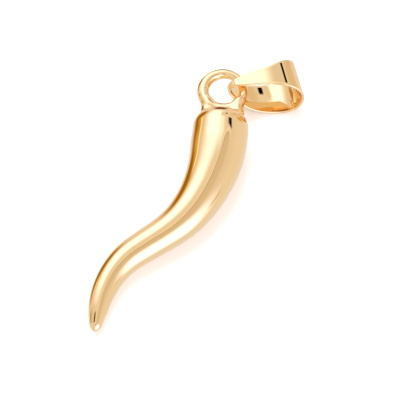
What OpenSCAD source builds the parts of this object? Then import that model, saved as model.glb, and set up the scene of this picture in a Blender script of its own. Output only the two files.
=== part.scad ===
// Cornicello horn pendant of polished gold-plated brass, lying on a table with its bail turned aside.
// Millimetres, +Z up. The horn's chord runs along Y, with the tip at -Y and the loop at +Y.
// The origin is on the table, under the middle of the whole pendant.

/* [Horn] */
// Length of the horn along its chord, from the domed top to the tip
horn_length = 27.4; // [22:0.5:40]
// Diameter of the horn at its thickest
horn_d = 5.7; // [4.4:0.1:7]
// Furthest that the horn's middle line swings away from its chord
horn_sway = 2.4; // [1.2:0.1:3]
// Length of the rounding at the domed top, along the horn
dome_length = 1.3; // [0.8:0.1:2.4]
// Length of the rounding at the tip, along the horn
tip_length = 0.6; // [0.3:0.05:0.9]

/* [Loop] */
// Thickness of the loop's wire
loop_wire = 1.05; // [0.8:0.05:1.3]
// Diameter of the loop's opening
loop_hole = 3.05; // [2.7:0.1:4]
// Metal between the loop's opening and the domed top
loop_stand = 1.35; // [1.1:0.05:2]
// Distance between the middles of the loop's two feet
foot_spread = 2.9; // [2.4:0.1:3.4]
// Diameter of each foot at the dome
foot_d = 1.25; // [1:0.05:1.6]
// Thickness of the web between the feet
web_t = 0.8; // [0.5:0.05:1]

/* [Bail] */
// Length of the bail, from its narrow bend to its wide bend
bail_length = 7.8; // [6.6:0.1:10]
// Height of the bail at its wide bend
bail_height = 4.6; // [3.8:0.1:5.4]
// Width of the strip at the outside of the wide bend
bail_width = 4.4; // [3:0.1:5.4]
// Width of the strip at the outside of the narrow bend
bail_neck_width = 0.6; // [0.4:0.05:1.2]
// Thickness of the strip
bail_sheet = 0.45; // [0.3:0.05:0.6]
// Room round the loop's wire inside the narrow bend
bail_clearance = 0.15; // [0.1:0.01:0.3]
// Radius to which the upper leaf is bowed
upper_bow_r = 25; // [14:1:60]
// Radius to which the lower leaf is bowed
lower_bow_r = 9; // [7:0.5:40]
// Width of the seam where the strip's two ends meet
seam_gap = 0.08; // [0.05:0.01:0.15]
// Place of the seam round the narrow bend, from the line to the wide bend
seam_angle = 127; // [100:1:140]

/* [Lie] */
// Place round the loop where the bail hangs, from +X towards +Y
hook_angle = 42; // [30:1:60]
// Direction in which the bail points, from +X towards +Y
bail_turn = 40; // [28:1:48]
// How far the wire lies from the middle of the narrow bend, towards the wide bend
bail_slack = 0.5; // [0.3:0.05:0.7]
// How far the middle of the narrow bend hangs below the wire
bail_sag = 0.08; // [0:0.01:0.1]

/* [Hidden] */
// Columns of the horn's table: place along the chord as a share of horn_length, swing off the
// chord as a share of horn_sway, and girth as a share of horn_d.
ALONG = 0;
SWING = 1;
GIRTH = 2;
STATIONS = [
    [0.00,  0.00, 0.985],
    [0.06,  0.29, 0.995],
    [0.12,  0.55, 1.000],
    [0.20,  0.83, 0.945],
    [0.28,  0.97, 0.865],
    [0.36,  0.99, 0.785],
    [0.44,  0.87, 0.710],
    [0.50,  0.65, 0.650],
    [0.56,  0.32, 0.600],
    [0.62, -0.05, 0.575],
    [0.68, -0.38, 0.545],
    [0.74, -0.55, 0.505],
    [0.80, -0.59, 0.460],
    [0.86, -0.52, 0.410],
    [0.92, -0.35, 0.340],
    [0.97, -0.15, 0.235],
    [1.00,  0.00, 0.160]
];
last_station = len(STATIONS) - 1;

// How square the domed top's profile is: 2 is an ellipse, and more is squarer
dome_power = 3;
// Facets round the horn, and rings over the dome, along the body and over the tip
horn_sides = 40;
dome_rings = 8;
body_rings = 50;
tip_rings = 6;
// Step along the horn by which its direction is found
nudge = 0.001;
// Smoothness of the loop and its feet
fine = 64;
// Straight steps round each of the bail's bends, and along each of its leaves
bend_steps = 32;
leaf_steps = 12;
// How far cuts and buried ends run past the face that they meet
past = 0.6;
// How much thinner than the wire each foot ends inside it
buried = 0.08;

// Slope of a column of the table at one of its rows
function slope(column, row) =
    let (before = STATIONS[max(row - 1, 0)], after = STATIONS[min(row + 1, last_station)])
    (after[column] - before[column]) / (after[ALONG] - before[ALONG]);

// Row of the table that starts the stretch holding a place along the horn
function row_of(place) =
    max([for (row = [0 : last_station - 1]) STATIONS[row][ALONG] <= place ? row : 0]);

// Value of a column at a place along the horn, on a smooth curve through the table's rows
function at(column, place) =
    let (
        row = row_of(place),
        from = STATIONS[row],
        to = STATIONS[row + 1],
        reach = to[ALONG] - from[ALONG],
        t = (place - from[ALONG]) / reach
    )
    from[column] * (2 * pow(t, 3) - 3 * pow(t, 2) + 1)
    + to[column] * (3 * pow(t, 2) - 2 * pow(t, 3))
    + slope(column, row) * reach * (pow(t, 3) - 2 * pow(t, 2) + t)
    + slope(column, row + 1) * reach * (pow(t, 3) - pow(t, 2));

// Middle line of the horn in its own flat plane, with the top of the dome at the origin
function middle(place) = [horn_sway * at(SWING, place), -horn_length * place];

// Direction square to the middle line, in the horn's plane
function across(place) =
    let (step = middle(min(place + nudge, 1)) - middle(max(place - nudge, 0)))
    [-step[1], step[0]] / norm(step);

// Share of the girth that the dome's rounding and the tip's rounding leave
function dome_share(place) =
    pow(1 - pow(1 - min(1, place * horn_length / dome_length), dome_power), 1 / dome_power);
function tip_share(place) =
    sqrt(1 - pow(1 - min(1, (1 - place) * horn_length / tip_length), 2));

function horn_r(place) =
    horn_d / 2 * at(GIRTH, place) * dome_share(place) * tip_share(place);

// Places of the rings, close together over the dome and the tip
dome_end = dome_length / horn_length;
tip_start = 1 - tip_length / horn_length;
RING_PLACES = [
    for (i = [1 : dome_rings - 1]) dome_end * (1 - cos(90 * i / dome_rings)),
    for (i = [0 : body_rings - 1]) dome_end + (tip_start - dome_end) * i / body_rings,
    for (i = [0 : tip_rings - 1]) tip_start + (1 - tip_start) * sin(90 * i / tip_rings)
];
ring_count = len(RING_PLACES);

// Points of the horn: the top of the dome, the rings, then the end of the tip
HORN_POINTS = [
    [0, 0, 0],
    for (place = RING_PLACES)
        let (c = middle(place), side = across(place), r = horn_r(place))
        for (i = [0 : horn_sides - 1])
            let (a = 360 * i / horn_sides)
            [c[0] + side[0] * r * cos(a), c[1] + side[1] * r * cos(a), r * sin(a)],
    [middle(1)[0], middle(1)[1], 0]
];
tip_point = len(HORN_POINTS) - 1;
function point_of(ring, i) = 1 + ring * horn_sides + i % horn_sides;
HORN_FACES = [
    for (i = [0 : horn_sides - 1]) [0, point_of(0, i), point_of(0, i + 1)],
    for (ring = [0 : ring_count - 2], i = [0 : horn_sides - 1])
        [point_of(ring, i), point_of(ring + 1, i), point_of(ring + 1, i + 1)],
    for (ring = [0 : ring_count - 2], i = [0 : horn_sides - 1])
        [point_of(ring, i), point_of(ring + 1, i + 1), point_of(ring, i + 1)],
    for (i = [0 : horn_sides - 1])
        [tip_point, point_of(ring_count - 1, i + 1), point_of(ring_count - 1, i)]
];

// The horn lies on two of its rings, one on each side of its balance. They are the pair whose
// line passes lowest under the balance: how low, and how steeply it falls towards the tip.
RING_R = [for (place = RING_PLACES) horn_r(place)];
balance = [for (r = RING_R) r * r] * RING_PLACES / (RING_R * RING_R);
RESTS = [
    for (i = [0 : ring_count - 1], j = [i + 1 : ring_count - 1])
        if (RING_PLACES[i] < balance && RING_PLACES[j] >= balance)
            let (share = (balance - RING_PLACES[i]) / (RING_PLACES[j] - RING_PLACES[i]))
            [
                RING_R[i] * (1 - share) + RING_R[j] * share,
                (RING_R[i] - RING_R[j]) / (RING_PLACES[j] - RING_PLACES[i]) / horn_length
            ]
];
DEPTHS = [for (rest = RESTS) rest[0]];
dip = atan(RESTS[search(max(DEPTHS), DEPTHS)[0]][1]);
lift = -min([for (p = HORN_POINTS) p[1] * sin(dip) + p[2] * cos(dip)]);
function lying(p) = [
    p[0],
    p[1] * cos(dip) - p[2] * sin(dip),
    p[1] * sin(dip) + p[2] * cos(dip) + lift
];

// The loop stands in the horn's plane, in line with the horn's top
wire_r = loop_wire / 2;
loop_r = loop_hole / 2 + wire_r;
loop_rise = loop_hole / 2 + loop_stand;
top_lean = atan(slope(SWING, 0) * horn_sway / horn_length);
LOOP_CENTRE = loop_rise * [-sin(top_lean), cos(top_lean), 0];

// The bail in its own frame: the narrow bend's middle at the origin, the wide bend towards +X,
// the strip's width along Y
neck_r = wire_r + bail_clearance + bail_sheet;
wide_r = bail_height / 2;
wide_x = bail_length - wide_r - neck_r;
function half_width(x) =
    (bail_neck_width + (bail_width - bail_neck_width) * (x + neck_r) / bail_length) / 2;

// Middle of a bowed leaf's radius, which touches both bends from outside
function bow_centre(bow_r, side) =
    let (
        x = (pow(bow_r - neck_r, 2) - pow(bow_r - wide_r, 2) + pow(wide_x, 2)) / (2 * wide_x)
    )
    [x, -side * sqrt(pow(bow_r - neck_r, 2) - pow(x, 2))];

// Angle from there through the middle of a bend, where the leaf and the bend meet
function way(bend_x, bow_r, side) =
    let (c = bow_centre(bow_r, side))
    atan2(-c[1], bend_x - c[0]);

// Points along an arc about a centre, without its last one
function arc(centre, r, from, to, steps) = [
    for (i = [0 : steps - 1])
        let (a = from + (to - from) * i / steps)
        centre + r * [cos(a), sin(a)]
];

// Side view of one face of the strip, moved inwards: wide bend, upper leaf, narrow bend, lower leaf
function outline(inset) = concat(
    arc([wide_x, 0], wide_r - inset,
        way(wide_x, lower_bow_r, -1), way(wide_x, upper_bow_r, 1), bend_steps),
    arc(bow_centre(upper_bow_r, 1), upper_bow_r - inset,
        way(wide_x, upper_bow_r, 1), way(0, upper_bow_r, 1), leaf_steps),
    arc([0, 0], neck_r - inset,
        way(0, upper_bow_r, 1), way(0, lower_bow_r, -1) + 360, bend_steps),
    arc(bow_centre(lower_bow_r, -1), lower_bow_r - inset,
        way(0, lower_bow_r, -1), way(wide_x, lower_bow_r, -1), leaf_steps)
);

// The bail hangs on the wire and its wide bend lies on the table
WIRE_AT = lying(LOOP_CENTRE + loop_r * [cos(hook_angle), sin(hook_angle), 0]);
NECK_AT = WIRE_AT - [bail_slack * cos(bail_turn), bail_slack * sin(bail_turn), bail_sag];
bail_dip = asin((NECK_AT[2] - wide_r) / wide_x);
function on_table(p) =
    let (forward = p[0] * cos(bail_dip) + p[2] * sin(bail_dip))
    NECK_AT + [
        forward * cos(bail_turn) - p[1] * sin(bail_turn),
        forward * sin(bail_turn) + p[1] * cos(bail_turn),
        p[2] * cos(bail_dip) - p[0] * sin(bail_dip)
    ];

// Outermost points of the whole pendant, which put the origin under its middle, looked for
// round the loop and the wide bend at this step in degrees
look_step = 2;
loop_out = loop_r + wire_r;
EXTREMES = concat(
    [for (p = HORN_POINTS) lying(p)],
    [for (a = [0 : look_step : 360]) lying(LOOP_CENTRE + loop_out * [cos(a), sin(a), 0])],
    [for (a = [-90 : look_step : 90], side = [-1, 1])
        let (x = wide_x + wide_r * cos(a))
        on_table([x, side * half_width(x), wide_r * sin(a)])]
);
MIDDLE = [
    for (axis = [0, 1])
        (min([for (p = EXTREMES) p[axis]]) + max([for (p = EXTREMES) p[axis]])) / 2
];

// The S-curved horn with its domed top and blunt tip
module horn_body() {
    polyhedron(points = HORN_POINTS, faces = HORN_FACES, convexity = 6);
}

// Round wire loop, in line with the horn's top
module loop_ring() {
    translate([0, loop_rise, 0])
        rotate_extrude($fn = fine)
            translate([loop_r, 0]) circle(r = wire_r, $fn = fine);
}

// Flared feet that carry the loop, and the web between them
module loop_feet() {
    foot_top = loop_rise - sqrt(pow(loop_r, 2) - pow(foot_spread / 2, 2));
    for (side = [-1, 1])
        translate([side * foot_spread / 2, foot_top, 0])
            rotate([90, 0, 0])
                cylinder(h = foot_top + past, r1 = wire_r - buried, r2 = foot_d / 2, $fn = fine);
    linear_extrude(height = web_t, center = true)
        difference() {
            translate([-foot_spread / 2, -past]) square([foot_spread, foot_top + past]);
            translate([0, loop_rise]) circle(r = loop_r, $fn = fine);
        }
}

// One casting: horn, loop and feet
module horn() {
    color("goldenrod")
        translate([-MIDDLE[0], -MIDDLE[1], lift])
            rotate([dip, 0, 0]) {
                horn_body();
                rotate([0, 0, top_lean]) {
                    loop_ring();
                    loop_feet();
                }
            }
}

// Side view of the bail's strip
module teardrop() {
    difference() {
        polygon(outline(0));
        polygon(outline(bail_sheet));
    }
}

// Plan of the bail's strip, which widens from the narrow bend to the wide one
module strip_plan() {
    from = -neck_r - past;
    to = wide_x + wide_r + past;
    polygon([
        [from, -half_width(from)],
        [to, -half_width(to)],
        [to, half_width(to)],
        [from, half_width(from)]
    ]);
}

// Teardrop bail: one strip of sheet bent round the loop's wire and closed at a fine seam
module bail() {
    color("gold")
        translate([NECK_AT[0] - MIDDLE[0], NECK_AT[1] - MIDDLE[1], NECK_AT[2]])
            rotate([0, 0, bail_turn])
                rotate([0, bail_dip, 0])
                    difference() {
                        intersection() {
                            rotate([90, 0, 0])
                                linear_extrude(height = bail_width + past, center = true) teardrop();
                            linear_extrude(height = bail_height + past, center = true) strip_plan();
                        }
                        rotate([0, -seam_angle, 0])
                            translate([0, -bail_width / 2, -seam_gap / 2])
                                cube([neck_r + past, bail_width, seam_gap]);
                    }
}

horn();
bail();
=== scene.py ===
"""Looks of the horn pendant: a smooth casting, its bail, polished gold and a photographer's table.

Shapes are worked out in millimetres and turned into metres when a mesh is made. The horn and its
loop lie in one plane, with the horn's top at the origin and its tip towards -Y, until LYING and
a shift put them on the table.
"""

import math

import bmesh
import bpy
import numpy as np
from mathutils import Matrix, Vector


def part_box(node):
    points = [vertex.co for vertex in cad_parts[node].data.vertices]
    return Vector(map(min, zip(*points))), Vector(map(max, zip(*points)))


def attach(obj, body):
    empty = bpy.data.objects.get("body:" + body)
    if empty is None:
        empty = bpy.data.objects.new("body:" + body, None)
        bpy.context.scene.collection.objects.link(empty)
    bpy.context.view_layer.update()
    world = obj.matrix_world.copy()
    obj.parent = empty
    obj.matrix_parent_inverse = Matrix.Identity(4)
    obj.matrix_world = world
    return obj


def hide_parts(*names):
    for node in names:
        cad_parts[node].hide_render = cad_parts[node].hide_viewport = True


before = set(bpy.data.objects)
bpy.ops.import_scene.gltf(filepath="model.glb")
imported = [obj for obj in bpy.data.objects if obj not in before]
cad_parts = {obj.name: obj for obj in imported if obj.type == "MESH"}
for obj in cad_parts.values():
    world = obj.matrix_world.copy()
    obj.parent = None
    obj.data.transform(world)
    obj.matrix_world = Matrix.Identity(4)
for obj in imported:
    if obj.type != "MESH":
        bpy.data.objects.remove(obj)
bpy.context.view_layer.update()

MM = 0.001

# ---- Sizes of the horn, in mm

HORN_LENGTH = 27.4
HORN_D = 5.7
HORN_SWAY = 2.4
DOME_LENGTH = 2.0
DOME_POWER = 2.6
# How far the dome's top stands over the first of the stations below
DOME_PROUD = 0.28
TIP_LENGTH = 0.6
TIP_POWER = 2

# Place along the horn as a share of its length, swing off its chord as a share of the sway, and
# girth as a share of its diameter
STATIONS = np.array(
    [
        (0.00, 0.00, 0.985),
        (0.06, 0.29, 0.995),
        (0.12, 0.55, 1.000),
        (0.20, 0.83, 0.945),
        (0.28, 0.97, 0.865),
        (0.36, 0.99, 0.785),
        (0.44, 0.87, 0.710),
        (0.50, 0.65, 0.650),
        (0.56, 0.32, 0.600),
        (0.62, -0.05, 0.575),
        (0.68, -0.38, 0.545),
        (0.74, -0.55, 0.505),
        (0.80, -0.59, 0.460),
        (0.86, -0.52, 0.410),
        (0.92, -0.35, 0.340),
        (0.97, -0.15, 0.235),
        (1.00, 0.00, 0.160),
    ]
)
# Step between the places at which the horn's curves are kept, how far past its ends they run,
# and the width over which the table's small kinks are smoothed
STEP = 0.001
PAST = 0.15
SMOOTHED = 0.012

# ---- Sizes of the loop and its feet, in mm

LOOP_WIRE = 1.05
LOOP_HOLE = 3.05
LOOP_STAND = 1.35
# The two feet: how far each is off the loop's middle, its thickness at the dome and at the loop
FEET = [(-1.55, 1.5, 0.9), (1.6, 1.65, 0.95)]
# The loop was cast a little uneven: how far its opening and its outside are off its middle, along
# the row of feet and away from the dome
HOLE_OFF = (0.06, 0.0)
OUTSIDE_OFF = (-0.12, -0.02)
# Bar of metal between the feet: its height over the dome and its thickness
BAR_RISE = 0.3
BAR_D = 0.7
# Size of the soft hollows where loop, feet and dome flow together
FOOT_BLEND = 0.5

# ---- Sizes of the bail, in mm

BAIL_LENGTH = 7.8
BAIL_HEIGHT = 4.6
BAIL_WIDTH = 4.4
BAIL_NECK_WIDTH = 0.6
BAIL_SHEET = 0.45
BAIL_CLEARANCE = 0.15
# Behind the neck the lower leaf is broader by FLARE on each side, and the upper one slimmer by WAIST.
# The lower leaf's broad part is pushed back by ASKEW.
FLARE = 0.42
ASKEW = 0.22
FLARE_X = 1.8
FLARE_SPAN = 2.2
WAIST = 0.16
WAIST_X = 2.8
WAIST_SPAN = 1.6
# Share by which the bail is shorter along its lowest line than along its top
TUCK = 0.045
UPPER_BOW_R = 25
LOWER_BOW_R = 5.6
SEAM_GAP = 0.08
SEAM_ANGLE = 127
# Radius to which the strip's edges are tumbled
EDGE_ROUND = 0.11
# By how much the strip's inside is worn off at the edge near the camera, and where across the
# strip, as a share of its half width, that starts
WORN = 0.18
WORN_FROM = 0.5

# ---- How the pendant lies, in degrees and mm

# Place round the loop where the bail hangs, and the direction in which the bail points
HOOK_ANGLE = 42
BAIL_TURN = 40
# How far the neck's middle is off the wire, away from the wide bend and below it
BAIL_SLACK = 0.5
BAIL_SAG = 0.08

# ---- Fineness of the meshes

HORN_RINGS = 240
HORN_SIDES = 96
END_RINGS = 16
FIRST_BEND = 0.02  # where the rounded ends' first ring lies, in radians off their very end
WIRE_STEPS = 96
WIRE_SIDES = 40
CELL = 0.105  # mm, the faces' size over the horn
EVENED = 2  # times that the skin is evened out before it is fitted
FITTED = 8  # times that the skin is pulled towards the exact surface
PLACED = 6  # times that a point's place along the horn is bettered
SLOPE_STEP = 0.002  # mm, over which the slope of the depth is measured
BALANCE_STEPS = 400  # places along the horn that are tried for where it rests
BEND_STEPS = 56
LEAF_STEPS = 36
FACE_STEPS = 14
EDGE_STEPS = 5

# ---- The camera

VIEW_ELEVATION = 56
VIEW_TURN = 27.1
VIEW_DISTANCE = 350  # mm
VIEW_WIDTH = 41.6  # mm across the picture at that distance
SENSOR = 36  # mm
AIM_ACROSS = 1.55  # mm, what the camera is aimed at, from the middle of the pendant
AIM_AWAY = -1.72
AIM_UP = 1.5


# ---- The horn's curves


def through_table(column):
    """A column of the table as a smooth curve over PLACES, carried straight on past both ends."""
    place, value = STATIONS[:, 0], STATIONS[:, column]
    before = np.maximum(np.arange(len(place)) - 1, 0)
    after = np.minimum(np.arange(len(place)) + 1, len(place) - 1)
    slope = (value[after] - value[before]) / (place[after] - place[before])
    inside = np.clip(PLACES, 0, 1)
    row = np.clip(np.searchsorted(place, inside, side="right") - 1, 0, len(place) - 2)
    reach = place[row + 1] - place[row]
    t = (inside - place[row]) / reach
    curve = (
        value[row] * (2 * t**3 - 3 * t**2 + 1)
        + value[row + 1] * (3 * t**2 - 2 * t**3)
        + slope[row] * reach * (t**3 - 2 * t**2 + t)
        + slope[row + 1] * reach * (t**3 - t**2)
    )
    end_slope = np.where(PLACES < 0, slope[0], slope[-1])
    curve += end_slope * (PLACES - inside)
    spread = np.arange(-4 * SMOOTHED, 4 * SMOOTHED + STEP / 2, STEP)
    weight = np.exp(-((spread / SMOOTHED) ** 2) / 2)
    edge = len(weight) // 2
    longer = np.pad(curve, edge, mode="reflect", reflect_type="odd")
    return np.convolve(longer, weight / weight.sum(), "valid")


PLACES = np.arange(-PAST, 1 + PAST, STEP)
MIDDLE = np.stack([HORN_SWAY * through_table(1), -HORN_LENGTH * PLACES], axis=1)
GIRTH_R = HORN_D / 2 * through_table(2)
ALONG = np.gradient(MIDDLE, STEP, axis=0)


def curve_at(curve, place):
    """Points of a curve kept over PLACES."""
    return np.stack([np.interp(place, PLACES, part) for part in curve.T], axis=-1)


def nearest_place(points):
    """Place along the horn whose cross-section each point lies in."""
    place = -points[:, 1] / HORN_LENGTH
    for _ in range(PLACED):
        along = curve_at(ALONG, place)
        off = points[:, :2] - curve_at(MIDDLE, place)
        place = np.clip(place + (off * along).sum(1) / (along**2).sum(1), PLACES[0], PLACES[-1])
    return place


def rounded_end(round_length, power, from_end, share):
    """1 on a girth whose end is rounded over round_length: share is the distance off the middle line."""
    into = np.maximum(1 - from_end / round_length, 0)
    return (into**power + share**power) ** (1 / power)


def body_depth(points):
    """How far points are outside the horn's surface, in mm, less than 0 inside it."""
    place = nearest_place(points)
    girth = np.interp(place, PLACES, GIRTH_R)
    off = points[:, :2] - curve_at(MIDDLE, place)
    share = np.sqrt((off**2).sum(1) + points[:, 2] ** 2) / girth
    from_top = place * HORN_LENGTH
    top = rounded_end(DOME_LENGTH, DOME_POWER, from_top + DOME_PROUD, share)
    tip = rounded_end(TIP_LENGTH, TIP_POWER, HORN_LENGTH - from_top, share)
    return (np.where(place < 0.5, top, tip) - 1) * girth


# ---- The loop, in its own frame: its feet at the origin, the opening's middle towards +Y

WIRE_R = LOOP_WIRE / 2
LOOP_R = LOOP_HOLE / 2 + WIRE_R
LOOP_RISE = LOOP_HOLE / 2 + LOOP_STAND
BAR_ENDS = [(side, BAR_RISE) for side, _, _ in FEET]
TOP = np.searchsorted(PLACES, 0)
TOP_LEAN = math.atan2(ALONG[TOP, 0], -ALONG[TOP, 1])


def leaned(points, lean):
    """Points turned round Z by an angle in radians."""
    turn = np.array([[math.cos(lean), -math.sin(lean)], [math.sin(lean), math.cos(lean)]])
    out = points.copy()
    out[:, :2] = points[:, :2] @ turn.T
    return out


def wire_at(angle):
    """Distance of the wire's middle from the loop's middle, and the wire's radius, at an angle."""
    way = np.stack([np.cos(angle), np.sin(angle)], axis=-1)
    outside = LOOP_R + WIRE_R + way @ np.array(OUTSIDE_OFF)
    inside = LOOP_R - WIRE_R + way @ np.array(HOLE_OFF)
    return (outside + inside) / 2, (outside - inside) / 2


def ring_depth(points):
    """Outside of the loop's ring, in the loop's frame."""
    across, up = points[:, 0], points[:, 1] - LOOP_RISE
    ring_r, wire_r = wire_at(np.arctan2(up, across))
    return np.hypot(np.hypot(across, up) - ring_r, points[:, 2]) - wire_r


def rod_depth(points, start, end, start_r, end_r):
    """Outside of a round-ended rod between two points of the loop's plane."""
    start, end = np.array(start + (0,)), np.array(end + (0,))
    way = end - start
    share = np.clip((points - start) @ way / (way @ way), 0, 1)
    off = points - start - share[:, None] * way
    return np.linalg.norm(off, axis=1) - (start_r + (end_r - start_r) * share)


def melted(a, b, size):
    """Union of two depths with a soft hollow of that size along their meeting line."""
    share = np.clip(0.5 + 0.5 * (b - a) / size, 0, 1)
    return b * (1 - share) + a * share - size * share * (1 - share)


def foot_ends(side, thick):
    """Where a foot starts under the dome and where it meets the loop's wire."""
    return (side, -thick / 2), (side, LOOP_RISE - math.sqrt(LOOP_R**2 - side**2))


def horn_depth(points):
    """The whole casting: horn, loop, feet and the bar between them."""
    upright = leaned(points, -TOP_LEAN)
    loop = ring_depth(upright)
    for side, thick, top_thick in FEET:
        foot = rod_depth(upright, *foot_ends(side, thick), thick / 2, top_thick / 2)
        loop = melted(loop, foot, FOOT_BLEND)
    bar = rod_depth(upright, *BAR_ENDS, BAR_D / 2, BAR_D / 2)
    loop = melted(loop, bar, FOOT_BLEND)
    return melted(body_depth(points), loop, FOOT_BLEND)


def depth_slope(points):
    """Direction in which horn_depth grows, and how fast."""
    slope = np.empty_like(points)
    for axis in range(3):
        shift = np.zeros(3)
        shift[axis] = SLOPE_STEP
        slope[:, axis] = (horn_depth(points + shift) - horn_depth(points - shift)) / (2 * SLOPE_STEP)
    return slope


# ---- How the pieces lie


def resting_dip():
    """Angle by which the horn's middle line falls towards the tip when it lies on two of its rings."""
    place = np.linspace(DOME_LENGTH, HORN_LENGTH - TIP_LENGTH, BALANCE_STEPS) / HORN_LENGTH
    r = np.interp(place, PLACES, GIRTH_R)
    balance = (r**2 * place).sum() / (r**2).sum()
    upper, lower = np.meshgrid(place[place < balance], place[place >= balance], indexing="ij")
    upper_r, lower_r = np.interp(upper, PLACES, GIRTH_R), np.interp(lower, PLACES, GIRTH_R)
    share = (balance - upper) / (lower - upper)
    deepest = np.argmax(upper_r * (1 - share) + lower_r * share)
    fall = (upper_r - lower_r) / (lower - upper) / HORN_LENGTH
    return math.atan(fall.flat[deepest])


DIP = resting_dip()
LYING = np.array(Matrix.Rotation(DIP, 3, "X"))


def sweep(rings, radii, sides, across):
    """Points of a tube: round each middle point a circle of its radius, set up on its way across."""
    angle = np.linspace(0, 2 * math.pi, sides, endpoint=False)
    flat = rings[:, None, :] + across[:, None, :] * (radii[:, None] * np.cos(angle))[..., None]
    return np.dstack([flat, radii[:, None] * np.sin(angle)])


def tube_faces(ring_count, sides, first, closed):
    """Faces of a tube whose points start at first: closed on itself, or capped at both ends."""
    last = ring_count if closed else ring_count - 1
    faces = []
    for ring in range(last):
        here, there = first + ring * sides, first + (ring + 1) % ring_count * sides
        for i in range(sides):
            j = (i + 1) % sides
            faces.append((here + i, there + i, there + j, here + j))
    if not closed:
        faces.append(tuple(range(first, first + sides)))
        end = first + (ring_count - 1) * sides
        faces.append(tuple(range(end + sides - 1, end - 1, -1)))
    return faces


def rough_horn():
    """Plain tubes of the horn, loop, feet and bar, as (points, faces) in the horn's plane."""
    bend = np.linspace(FIRST_BEND, math.pi / 2, END_RINGS)
    from_top = DOME_LENGTH * (1 - np.cos(bend)) - DOME_PROUD
    from_tip = TIP_LENGTH * (1 - np.cos(bend[::-1]))
    body = np.linspace(DOME_LENGTH - DOME_PROUD, HORN_LENGTH - TIP_LENGTH, HORN_RINGS)[1:-1]
    along = np.concatenate([from_top, body, HORN_LENGTH - from_tip])
    place = along / HORN_LENGTH
    top = (1 - np.maximum(1 - (along + DOME_PROUD) / DOME_LENGTH, 0) ** DOME_POWER) ** (1 / DOME_POWER)
    tip = (1 - np.maximum(1 - (HORN_LENGTH - along) / TIP_LENGTH, 0) ** TIP_POWER) ** (1 / TIP_POWER)
    way = curve_at(ALONG, place)
    across = np.stack([-way[:, 1], way[:, 0]], axis=1) / np.linalg.norm(way, axis=1)[:, None]
    horn = sweep(curve_at(MIDDLE, place), np.interp(place, PLACES, GIRTH_R) * top * tip, HORN_SIDES, across)

    angle = np.linspace(0, 2 * math.pi, WIRE_STEPS, endpoint=False)
    outward = np.stack([np.cos(angle), np.sin(angle)], axis=1)
    ring_r, wire_r = wire_at(angle)
    ring = sweep([0, LOOP_RISE] + outward * ring_r[:, None], wire_r, WIRE_SIDES, outward)

    tubes = [(horn, HORN_SIDES, False, 0), (ring, WIRE_SIDES, True, TOP_LEAN)]
    wide, high = np.array([(1, 0), (1, 0)]), np.array([(0, 1), (0, 1)])
    rods = [(foot_ends(side, d), (d / 2, top_d / 2), wide) for side, d, top_d in FEET]
    rods.append((BAR_ENDS, (BAR_D / 2, BAR_D / 2), high))
    for ends, radii, across in rods:
        rod = sweep(np.array(ends), np.array(radii), WIRE_SIDES, across)
        tubes.append((rod, WIRE_SIDES, False, TOP_LEAN))

    points, faces = [], []
    for tube, sides, closed, lean in tubes:
        first = sum(len(p) for p in points)
        faces += tube_faces(len(tube), sides, first, closed)
        points.append(leaned(tube.reshape(-1, 3), lean))
    return points, faces


def new_object(name, points, faces):
    """A linked object of that name. Its points are taken as they are, in whatever unit they come."""
    mesh = bpy.data.meshes.new(name)
    mesh.from_pydata([tuple(p) for p in points], [], faces)
    mesh.validate()
    piece = bpy.data.objects.new(name, mesh)
    bpy.context.scene.collection.objects.link(piece)
    return piece


def evenly_meshed(piece):
    """Gives the piece an even skin round all its tubes, finer over the loop, and returns its points."""
    wrap = piece.modifiers.new("skin", "REMESH")
    wrap.mode = "VOXEL"
    wrap.voxel_size = CELL
    wrapped = piece.evaluated_get(bpy.context.evaluated_depsgraph_get())
    skin = bpy.data.meshes.new_from_object(wrapped)
    piece.modifiers.clear()
    old, piece.data = piece.data, skin
    bpy.data.meshes.remove(old)
    shape = bmesh.new()
    shape.from_mesh(skin)
    every_way = {"use_axis_x": True, "use_axis_y": True, "use_axis_z": True}
    for _ in range(EVENED):
        bmesh.ops.smooth_vert(shape, verts=shape.verts, factor=0.5, **every_way)
    loop = [e for e in shape.edges if min(v.co.y for v in e.verts) > -DOME_LENGTH]
    bmesh.ops.subdivide_edges(shape, edges=loop, cuts=1, use_grid_fill=True)
    bmesh.ops.triangulate(shape, faces=[f for f in shape.faces if len(f.verts) > 4])
    bmesh.ops.recalc_face_normals(shape, faces=shape.faces)
    shape.to_mesh(skin)
    shape.free()
    points = np.empty(len(skin.vertices) * 3)
    skin.vertices.foreach_get("co", points)
    return points.reshape(-1, 3)


def make_horn():
    """The casting. Its skin is pulled onto the exact surface, and its shading follows that too."""
    tubes, faces = rough_horn()
    plain = np.concatenate(tubes) @ LYING.T
    corner = np.array(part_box("horn")[0]) / MM
    shift = corner - plain.min(axis=0)
    piece = new_object("horn_casting", np.concatenate(tubes), faces)
    points = evenly_meshed(piece)
    for _ in range(FITTED):
        slope = depth_slope(points)
        points -= slope * (horn_depth(points) / (slope**2).sum(1))[:, None]
    normals = depth_slope(points)
    normals /= np.linalg.norm(normals, axis=1)[:, None]
    mesh = piece.data
    mesh.vertices.foreach_set("co", ((points @ LYING.T + shift) * MM).ravel())
    mesh.polygons.foreach_set("use_smooth", np.ones(len(mesh.polygons), bool))
    mesh.normals_split_custom_set_from_vertices([tuple(n) for n in normals @ LYING.T])
    mesh.update()
    return piece, shift


# ---- The bail, in its own frame: the narrow bend's middle at the origin, the wide bend towards +X

NECK_R = WIRE_R + BAIL_CLEARANCE + BAIL_SHEET
WIDE_R = BAIL_HEIGHT / 2
WIDE_X = BAIL_LENGTH - WIDE_R - NECK_R  # where the wide bend's middle is


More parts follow.
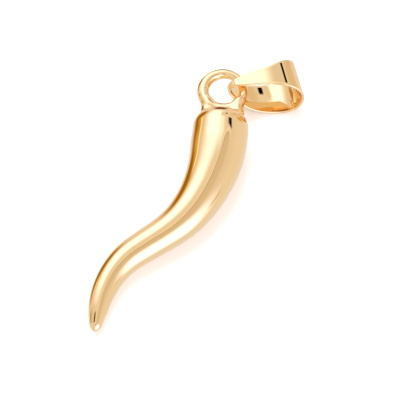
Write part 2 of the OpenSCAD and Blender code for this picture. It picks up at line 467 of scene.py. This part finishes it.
def half_width(x, z):
    """Half the strip's width, and how far its middle is pushed back, at a place of the bail."""
    straight = (BAIL_NECK_WIDTH + (BAIL_WIDTH - BAIL_NECK_WIDTH) * (x + NECK_R) / BAIL_LENGTH) / 2
    below = np.clip(-z / NECK_R, 0, 1) * np.exp(-(((x - FLARE_X) / FLARE_SPAN) ** 2))
    above = np.clip(z / NECK_R, 0, 1) * np.exp(-(((x - WAIST_X) / WAIST_SPAN) ** 2))
    return straight + FLARE * below - WAIST * above, ASKEW * below


def bow_centre(bow_r, side):
    """Middle of a bowed leaf's radius, which touches both bends from outside."""
    x = ((bow_r - NECK_R) ** 2 - (bow_r - WIDE_R) ** 2 + WIDE_X**2) / (2 * WIDE_X)
    return np.array([x, -side * math.sqrt((bow_r - NECK_R) ** 2 - x**2)])


def bail_path():
    """The strip's outer face as rows of (centre x, centre z, radius, angle), from seam to seam."""
    upper, lower = bow_centre(UPPER_BOW_R, 1), bow_centre(LOWER_BOW_R, -1)

    def way(bend_x, centre):
        return math.atan2(-centre[1], bend_x - centre[0])

    open_angle = SEAM_GAP / 2 / (NECK_R - BAIL_SHEET / 2)
    seam = math.radians(SEAM_ANGLE)
    turn = 2 * math.pi
    arcs = [
        ((0, 0), NECK_R, seam + open_angle, way(0, lower) + turn, BEND_STEPS),
        (lower, LOWER_BOW_R, way(0, lower) + turn, way(WIDE_X, lower) + turn, LEAF_STEPS),
        ((WIDE_X, 0), WIDE_R, way(WIDE_X, lower) + turn, way(WIDE_X, upper) + turn, BEND_STEPS),
        (upper, UPPER_BOW_R, way(WIDE_X, upper) + turn, way(0, upper) + turn, LEAF_STEPS),
        ((0, 0), NECK_R, way(0, upper) + turn, seam - open_angle + turn, BEND_STEPS // 3),
    ]
    rows = []
    for centre, r, start, end, steps in arcs:
        for i in range(steps):
            rows.append((centre[0], centre[1], r, start + (end - start) * i / steps))
    rows.append((0, 0, NECK_R, seam - open_angle + turn))
    return np.array(rows)


def worn(share):
    """How much the strip is thinned inside, at a share of its half width."""
    return WORN * max((WORN_FROM - share) / (WORN_FROM + 1), 0) ** 2


def strip_section():
    """The strip's cross-section as (share of the half width, distance from the edge, depth)."""
    corner = np.linspace(0, math.pi / 2, EDGE_STEPS + 1)
    face = np.linspace(-1, 1, FACE_STEPS + 1)[1:-1]
    section = []
    for side in (1, -1):
        outer = side > 0
        far = BAIL_SHEET - worn(side) - EDGE_ROUND
        for share in face * side:
            section.append((share, EDGE_ROUND, 0 if outer else BAIL_SHEET - worn(share)))
        first, second = (EDGE_ROUND, far) if outer else (far, EDGE_ROUND)
        for a in corner:
            depth = first - EDGE_ROUND * math.cos(a) if outer else first + EDGE_ROUND * math.cos(a)
            section.append((side, EDGE_ROUND * (1 - math.sin(a)), depth))
        for a in corner[::-1]:
            depth = second + EDGE_ROUND * math.cos(a) if outer else second - EDGE_ROUND * math.cos(a)
            section.append((side, EDGE_ROUND * (1 - math.sin(a)), depth))
    return section


def make_bail(horn_shift):
    """The strip, bent round the loop's wire and laid down on the table on its wide bend."""
    path, section = bail_path(), strip_section()
    rings = []
    for share, from_edge, depth in section:
        r = path[:, 2] - depth
        x = path[:, 0] + r * np.cos(path[:, 3])
        z = path[:, 1] + r * np.sin(path[:, 3])
        wide, back = half_width(x, z)
        y = share * (wide - from_edge) + back
        x = x * (1 - TUCK * (WIDE_R - z) / BAIL_HEIGHT)
        rings.append(np.stack([x, y, z], axis=1))
    points = np.stack(rings, axis=1)
    faces = tube_faces(len(path), len(section), 0, False)

    hook = math.radians(HOOK_ANGLE)
    hook_place = np.array([[LOOP_R * math.cos(hook), LOOP_R * math.sin(hook), 0]])
    middle = leaned(np.array([[0.0, LOOP_RISE, 0.0]]), TOP_LEAN)
    wire = ((middle + hook_place) @ LYING.T + horn_shift)[0]
    turn = math.radians(BAIL_TURN)
    neck = wire - [BAIL_SLACK * math.cos(turn), BAIL_SLACK * math.sin(turn), BAIL_SAG]
    dip = math.asin((neck[2] - WIDE_R) / WIDE_X)
    lie = np.array(Matrix.Rotation(turn, 3, "Z") @ Matrix.Rotation(dip, 3, "Y"))
    piece = new_object("bail_strip", (points.reshape(-1, 3) @ lie.T + neck) * MM, faces)
    shape = bmesh.new()
    shape.from_mesh(piece.data)
    bmesh.ops.recalc_face_normals(shape, faces=shape.faces)
    for face in shape.faces:
        face.smooth = len(face.verts) == 4
    shape.to_mesh(piece.data)
    shape.free()
    return piece


# ---- Materials

# Sizes of the clouds in the gold's tone and of the waves in its surface, as noise scales per metre
CLOUD_SCALE = 320.0
WAVE_SCALE = 420.0
WAVE_STRENGTH = 0.04
WAVE_HEIGHT = 0.0002  # m
# Polishing lines per metre across, along and up, and the roughness between and on them
LINE_SCALES = (9000.0, 900.0, 9000.0)
SMOOTHEST, ROUGHEST = 0.02, 0.05


def node_of(tree, kind, **inputs):
    """A new node with those inputs set, an underscore in a name standing for a space."""
    node = tree.nodes.new(kind)
    for name, value in inputs.items():
        node.inputs[name.replace("_", " ")].default_value = value
    return node


def polished_gold(name, light, deep):
    """Plated gold, polished by hand: cloudy tone, faint polishing lines and slight waviness."""
    material = bpy.data.materials.new(name)
    material.use_nodes = True
    tree = material.node_tree
    gold = tree.nodes["Principled BSDF"]
    gold.inputs["Metallic"].default_value = 1.0
    place = tree.nodes.new("ShaderNodeTexCoord").outputs["Object"]

    clouds = node_of(tree, "ShaderNodeTexNoise", Scale=CLOUD_SCALE, Detail=3.0, Roughness=0.5)
    tone = tree.nodes.new("ShaderNodeMix")
    tone.data_type = "RGBA"
    tone.inputs["A"].default_value = (*light, 1)
    tone.inputs["B"].default_value = (*deep, 1)
    tree.links.new(place, clouds.inputs["Vector"])
    tree.links.new(clouds.outputs["Fac"], tone.inputs["Factor"])
    tree.links.new(tone.outputs["Result"], gold.inputs["Base Color"])

    stretch = node_of(tree, "ShaderNodeMapping", Scale=LINE_SCALES)
    lines = node_of(tree, "ShaderNodeTexNoise", Scale=1.0, Detail=2.0)
    shine = node_of(tree, "ShaderNodeMapRange", To_Min=SMOOTHEST, To_Max=ROUGHEST)
    tree.links.new(place, stretch.inputs["Vector"])
    tree.links.new(stretch.outputs["Vector"], lines.inputs["Vector"])
    tree.links.new(lines.outputs["Fac"], shine.inputs["Value"])
    tree.links.new(shine.outputs["Result"], gold.inputs["Roughness"])

    waves = node_of(tree, "ShaderNodeTexNoise", Scale=WAVE_SCALE, Detail=1.0)
    bump = node_of(tree, "ShaderNodeBump", Strength=WAVE_STRENGTH, Distance=WAVE_HEIGHT)
    tree.links.new(place, waves.inputs["Vector"])
    tree.links.new(waves.outputs["Fac"], bump.inputs["Height"])
    tree.links.new(bump.outputs["Normal"], gold.inputs["Normal"])
    return material


# ---- The photographer's table: floor, tent and camera


FLOOR_SIZE = 1.6  # m
FLOOR_DROP = 0.00001  # m, so that floor and pendant don't share a plane
PAPER = (0.99, 0.96, 0.93, 1)


def make_floor():
    """The white table, which takes shadows but isn't mirrored in the gold."""
    bpy.ops.mesh.primitive_plane_add(size=FLOOR_SIZE, location=(0, 0, -FLOOR_DROP))
    floor = bpy.context.object
    floor.name = "floor"
    paper = bpy.data.materials.new("white_paper")
    paper.use_nodes = True
    sheet = paper.node_tree.nodes["Principled BSDF"]
    sheet.inputs["Base Color"].default_value = PAPER
    sheet.inputs["Roughness"].default_value = 1.0
    sheet.inputs["Specular IOR Level"].default_value = 0.0
    floor.data.materials.append(paper)
    floor.visible_glossy = False


# Lamps over the table: direction round and height as in the tent below, in degrees, distance and
# size in mm, and watts
LAMPS = [
    ("key_lamp", -32, 60, 700, 600, 3.5),
    ("front_lamp", 140, 40, 700, 800, 2.2),
]

# The tent round the table, seen from the pendant: direction round from straight away from the
# camera and height over the table, half width, half height and tilt, all in degrees, softness
# as a share of the size, and colour.
TENT = [
    ("table_light", 0, -75, 220, 48, 0, 0.3, (0.88, 0.93, 1.02)),
    ("light_rim", 102, 58, 51, 20.5, 0, 0.06, (1.10, 1.06, 0.98)),
    ("dark_rim", 102, 58, 47.5, 17.5, 0, 0.05, (0.58, 0.54, 0.45)),
    ("shaded_side", 102, 57, 44, 14.5, 0, 0.1, (0.75, 0.71, 0.62)),
    ("shaded_low", 100, 35, 52, 12, 4, 0.7, (0.86, 0.84, 0.82)),
    ("key_wing", 4, 65, 34, 8, 0, 0.5, (1.2, 1.35, 1.6)),
    ("key_light", -26, 48, 30, 20, 0, 0.6, (1.7, 1.8, 2.4)),
    ("key_edge", -13, 50, 15, 8, 0, 0.4, (1.9, 2.0, 2.1)),
    ("fill_light", 146, 10, 37, 30, 0, 0.4, (1.8, 1.9, 2.8)),
    ("warm_side", -44, -6, 16, 19, 0, 0.5, (0.74, 0.46, 0.08)),
    ("warm_core", -42, -9, 9, 20, -20, 0.5, (0.38, 0.17, 0.0)),
    ("light_line", -54, 7, 5, 3.5, 0, 0.5, (1.05, 1.1, 0.9)),
    ("grey_side", -78, 20, 10, 30, 0, 0.5, (0.85, 0.80, 0.72)),
    ("amber_left", -74, 3, 4, 10, 0, 0.5, (0.50, 0.28, 0.05)),
    ("dark_tip", -89, 66, 7, 11, 0, 0.6, (0.06, 0.02, 0.0)),
    ("tan_leaf", 13, 51, 7, 8, 0, 0.5, (0.84, 0.85, 0.83)),
    ("tan_bend", 42, 16, 7, 20, 0, 0.5, (0.80, 0.72, 0.60)),
    ("dark_bend", 27.3, 41.7, 5.3, 2.7, -45, 0.35, (0.0, 0.0, 0.0)),
    ("gold_edge", 56, 4, 5, 12, 0, 0.5, (0.72, 0.52, 0.12)),
    ("dark_right", 53.5, 42.8, 9, 1.3, -43, 0.5, (0.0, 0.0, 0.0)),
    ("dark_top", 1, 4, 12, 13, 0, 0.4, (0.10, 0.02, 0.0)),
    ("dark_low", 102, 2, 5, 4, 0, 0.6, (0.72, 0.72, 0.65)),
    ("lens_left", -180, 57, 11, 8, 0, 0.5, (0.45, 0.38, 0.30)),
    ("lens_right", 180, 57, 11, 8, 0, 0.5, (0.45, 0.38, 0.30)),
]
TENT_CLOTH = (0.9, 0.9, 0.88)
# Warm gel over all of the tent
GEL = (0.985, 0.91, 0.865)
# A card's corners are round: its outline is |x|^3 + |y|^3 = 1
CORNER_POWER = 3


def card(tree, view, under, placing, colour):
    """Lays one card of the tent, soft-edged and round-cornered, over the colour so far."""
    az, el, wide, high, tilt, soft = placing
    lay = tree.nodes.new("ShaderNodeMapping")
    lay.vector_type = "TEXTURE"
    lay.inputs["Location"].default_value = (math.radians(az), math.radians(el), 0)
    lay.inputs["Rotation"].default_value = (0, 0, math.radians(tilt))
    lay.inputs["Scale"].default_value = (math.radians(wide), math.radians(high), 1)
    size, square, cube, both = (tree.nodes.new("ShaderNodeVectorMath") for _ in range(4))
    size.operation = "ABSOLUTE"
    square.operation = cube.operation = "MULTIPLY"
    both.operation = "DOT_PRODUCT"
    both.inputs[1].default_value = (1, 1, 0)
    tree.links.new(view, lay.inputs["Vector"])
    tree.links.new(lay.outputs["Vector"], size.inputs[0])
    for i in range(2):
        tree.links.new(size.outputs["Vector"], square.inputs[i])
    tree.links.new(square.outputs["Vector"], cube.inputs[0])
    tree.links.new(size.outputs["Vector"], cube.inputs[1])
    tree.links.new(cube.outputs["Vector"], both.inputs[0])
    off = tree.nodes.new("ShaderNodeMath")
    off.operation = "POWER"
    off.inputs[1].default_value = 1 / CORNER_POWER
    tree.links.new(both.outputs["Value"], off.inputs[0])
    fade = tree.nodes.new("ShaderNodeMapRange")
    fade.interpolation_type = "SMOOTHSTEP"
    fade.inputs["From Min"].default_value = 1 + soft
    fade.inputs["From Max"].default_value = 1 - soft
    tree.links.new(off.outputs["Value"], fade.inputs["Value"])
    mix = tree.nodes.new("ShaderNodeMix")
    mix.data_type = "RGBA"
    mix.inputs["B"].default_value = (*colour, 1)
    tree.links.new(fade.outputs["Result"], mix.inputs["Factor"])
    if isinstance(under, tuple):
        mix.inputs["A"].default_value = (*under, 1)
    else:
        tree.links.new(under, mix.inputs["A"])
    return mix.outputs["Result"]


def make_tent():
    """The world: the tent's cloth with all its cards over it, in the camera's own directions round."""
    world = bpy.data.worlds.new("light_tent")
    world.use_nodes = True
    bpy.context.scene.world = world
    tree = world.node_tree
    place = tree.nodes.new("ShaderNodeTexCoord").outputs["Generated"]
    turn = tree.nodes.new("ShaderNodeVectorRotate")
    turn.rotation_type = "Z_AXIS"
    turn.inputs["Angle"].default_value = -math.radians(VIEW_TURN)
    split = tree.nodes.new("ShaderNodeSeparateXYZ")
    tree.links.new(place, turn.inputs["Vector"])
    tree.links.new(turn.outputs["Vector"], split.inputs["Vector"])
    azimuth = tree.nodes.new("ShaderNodeMath")
    azimuth.operation = "ARCTAN2"
    tree.links.new(split.outputs["X"], azimuth.inputs[0])
    tree.links.new(split.outputs["Y"], azimuth.inputs[1])
    elevation = tree.nodes.new("ShaderNodeMath")
    elevation.operation = "ARCSINE"
    tree.links.new(split.outputs["Z"], elevation.inputs[0])
    view = tree.nodes.new("ShaderNodeCombineXYZ")
    tree.links.new(azimuth.outputs["Value"], view.inputs["X"])
    tree.links.new(elevation.outputs["Value"], view.inputs["Y"])

    colour = TENT_CLOTH
    for _, *placing, shade in TENT:
        colour = card(tree, view.outputs["Vector"], colour, placing, shade)
    gel = tree.nodes.new("ShaderNodeVectorMath")
    gel.operation = "MULTIPLY"
    gel.inputs[1].default_value = GEL
    tree.links.new(colour, gel.inputs[0])
    tree.links.new(gel.outputs["Vector"], tree.nodes["Background"].inputs["Color"])


def make_lamps():
    """Broad soft lamps for the table. The gold mirrors only the tent."""
    for name, azimuth, elevation, distance, size, power in LAMPS:
        lamp = bpy.data.lights.new(name, "AREA")
        lamp.shape = "DISK"
        lamp.size = size * MM
        lamp.energy = power
        turn, rise = math.radians(VIEW_TURN - azimuth), math.radians(elevation)
        towards = Vector((-math.sin(turn) * math.cos(rise), math.cos(turn) * math.cos(rise), math.sin(rise)))
        holder = bpy.data.objects.new(name, lamp)
        holder.location = towards * distance * MM
        holder.rotation_mode = "QUATERNION"
        holder.rotation_quaternion = towards.to_track_quat("Z", "Y")
        holder.visible_glossy = False
        bpy.context.scene.collection.objects.link(holder)


def make_camera():
    """The camera at the photo's angle, from far away, as with a long lens."""
    turn, rise = math.radians(VIEW_TURN), math.radians(VIEW_ELEVATION)
    across = Vector((math.cos(turn), math.sin(turn), 0))
    away = Vector((-math.sin(turn), math.cos(turn), 0))
    aim = across * AIM_ACROSS + away * AIM_AWAY + Vector((0, 0, AIM_UP))
    back = Vector((0, 0, math.sin(rise))) - away * math.cos(rise)
    data = bpy.data.cameras.new("camera")
    data.sensor_width = SENSOR
    data.lens = SENSOR * VIEW_DISTANCE / VIEW_WIDTH
    data.clip_start, data.clip_end = 0.01, 10
    camera = bpy.data.objects.new("camera", data)
    camera.location = (aim + back * VIEW_DISTANCE) * MM
    camera.rotation_mode = "QUATERNION"
    camera.rotation_quaternion = (-back).to_track_quat("-Z", "Y")
    bpy.context.scene.collection.objects.link(camera)
    bpy.context.scene.camera = camera


def dress():
    """Makes both pieces, gives each its gold and lets it stand for its node."""
    horn, shift = make_horn()
    bail = make_bail(shift)
    finishes = [
        ("horn", horn, "horn_gold", (0.97, 0.735, 0.42), (0.95, 0.705, 0.385)),
        ("bail", bail, "bail_gold", (0.97, 0.73, 0.41), (0.95, 0.70, 0.375)),
    ]
    for node, piece, slot, light, deep in finishes:
        piece.data.materials.clear()
        piece.data.materials.append(polished_gold("polished_" + slot, light, deep))
        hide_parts(node)
        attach(piece, "root")


make_camera()
make_tent()
make_lamps()
make_floor()
dress()
bpy.context.scene.view_settings.view_transform = "Standard"
